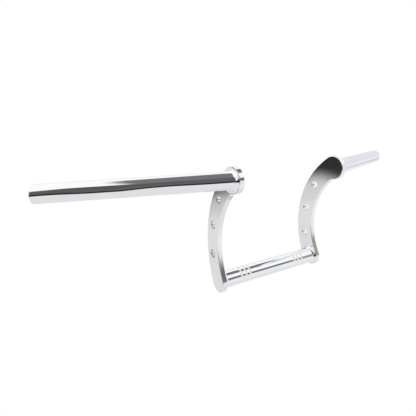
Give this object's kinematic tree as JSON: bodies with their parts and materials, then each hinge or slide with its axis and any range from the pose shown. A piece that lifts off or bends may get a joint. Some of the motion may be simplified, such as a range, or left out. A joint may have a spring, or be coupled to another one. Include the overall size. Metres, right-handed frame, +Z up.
{
  "type": "z-bar handlebar",
  "caption": "Chromed motorcycle z-bar handlebar: a straight clamp tube, curved drilled side plates and swept back grip tubes, welded together.",
  "frame": {"origin": "middle of the clamp tube, on its axis", "axes": "+X along the clamp tube to the rider's right, +Y forward, +Z up"},
  "size_m": [0.6792, 0.1254, 0.203],
  "materials": {
    "chrome": "polished chrome plating over steel"
  },
  "bodies": {
    "root": {"clamp_tube": "chrome", "right_plate": "chrome", "left_plate": "chrome", "right_grip_tube": "chrome", "left_grip_tube": "chrome"}
  },
  "joints": []
}
